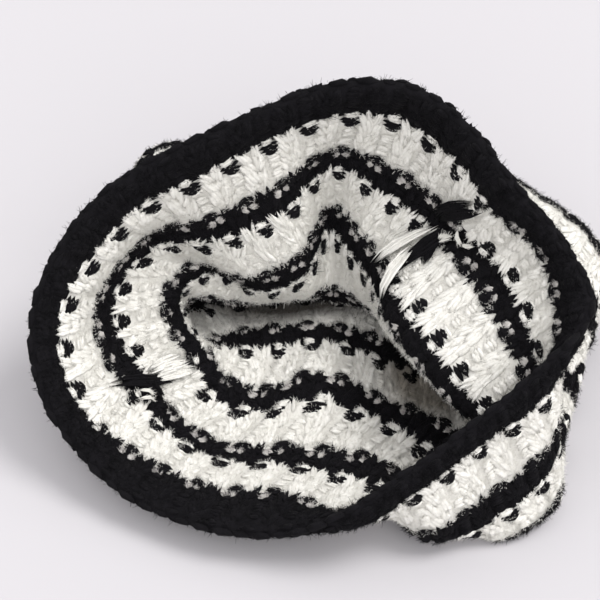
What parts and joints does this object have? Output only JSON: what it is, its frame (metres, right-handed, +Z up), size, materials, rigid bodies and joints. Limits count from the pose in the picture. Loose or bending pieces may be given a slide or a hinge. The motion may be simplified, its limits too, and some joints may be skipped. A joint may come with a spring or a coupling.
{
  "type": "neck gaiter",
  "caption": "Slumped tube of fuzzy black and cream striped knit, its mouth tipped open and its far end bowed up behind and curled under.",
  "frame": {"origin": "middle of the footprint box, on the table", "axes": "+Z up from the table; -Y is the side the open mouth faces; +X to the right seen from there"},
  "size_m": [0.2152, 0.1956, 0.1037],
  "materials": {
    "black_wool": "brushed wool knit, matte, short fibres",
    "cream_wool": "brushed wool knit, matte, short fibres",
    "seam_wool": "wool sewing yarn, matte"
  },
  "bodies": {
    "root": {"back_top_edge_band": "black_wool", "back_cream_stripe_1": "cream_wool", "back_black_stripe_1": "black_wool", "back_cream_stripe_2": "cream_wool", "back_black_stripe_2": "black_wool", "back_cream_stripe_3": "cream_wool", "back_black_stripe_3": "black_wool", "back_cream_stripe_4": "cream_wool", "back_black_stripe_4": "black_wool", "back_cream_stripe_5": "cream_wool", "back_black_stripe_5": "black_wool", "back_cream_stripe_6": "cream_wool", "back_black_stripe_6": "black_wool", "back_cream_stripe_7": "cream_wool", "back_black_stripe_7": "black_wool", "back_cream_stripe_8": "cream_wool", "back_bottom_edge_band": "black_wool", "front_top_edge_band": "black_wool", "front_cream_stripe_1": "cream_wool", "front_black_stripe_1": "black_wool", "front_cream_stripe_2": "cream_wool", "front_black_stripe_2": "black_wool", "front_cream_stripe_3": "cream_wool", "front_black_stripe_3": "black_wool", "front_cream_stripe_4": "cream_wool", "front_black_stripe_4": "black_wool", "front_cream_stripe_5": "cream_wool", "front_black_stripe_5": "black_wool", "front_cream_stripe_6": "cream_wool", "front_black_stripe_6": "black_wool", "front_cream_stripe_7": "cream_wool", "front_black_stripe_7": "black_wool", "front_cream_stripe_8": "cream_wool", "front_bottom_edge_band": "black_wool", "left_side_seam": "seam_wool", "right_side_seam": "seam_wool"}
  },
  "joints": []
}
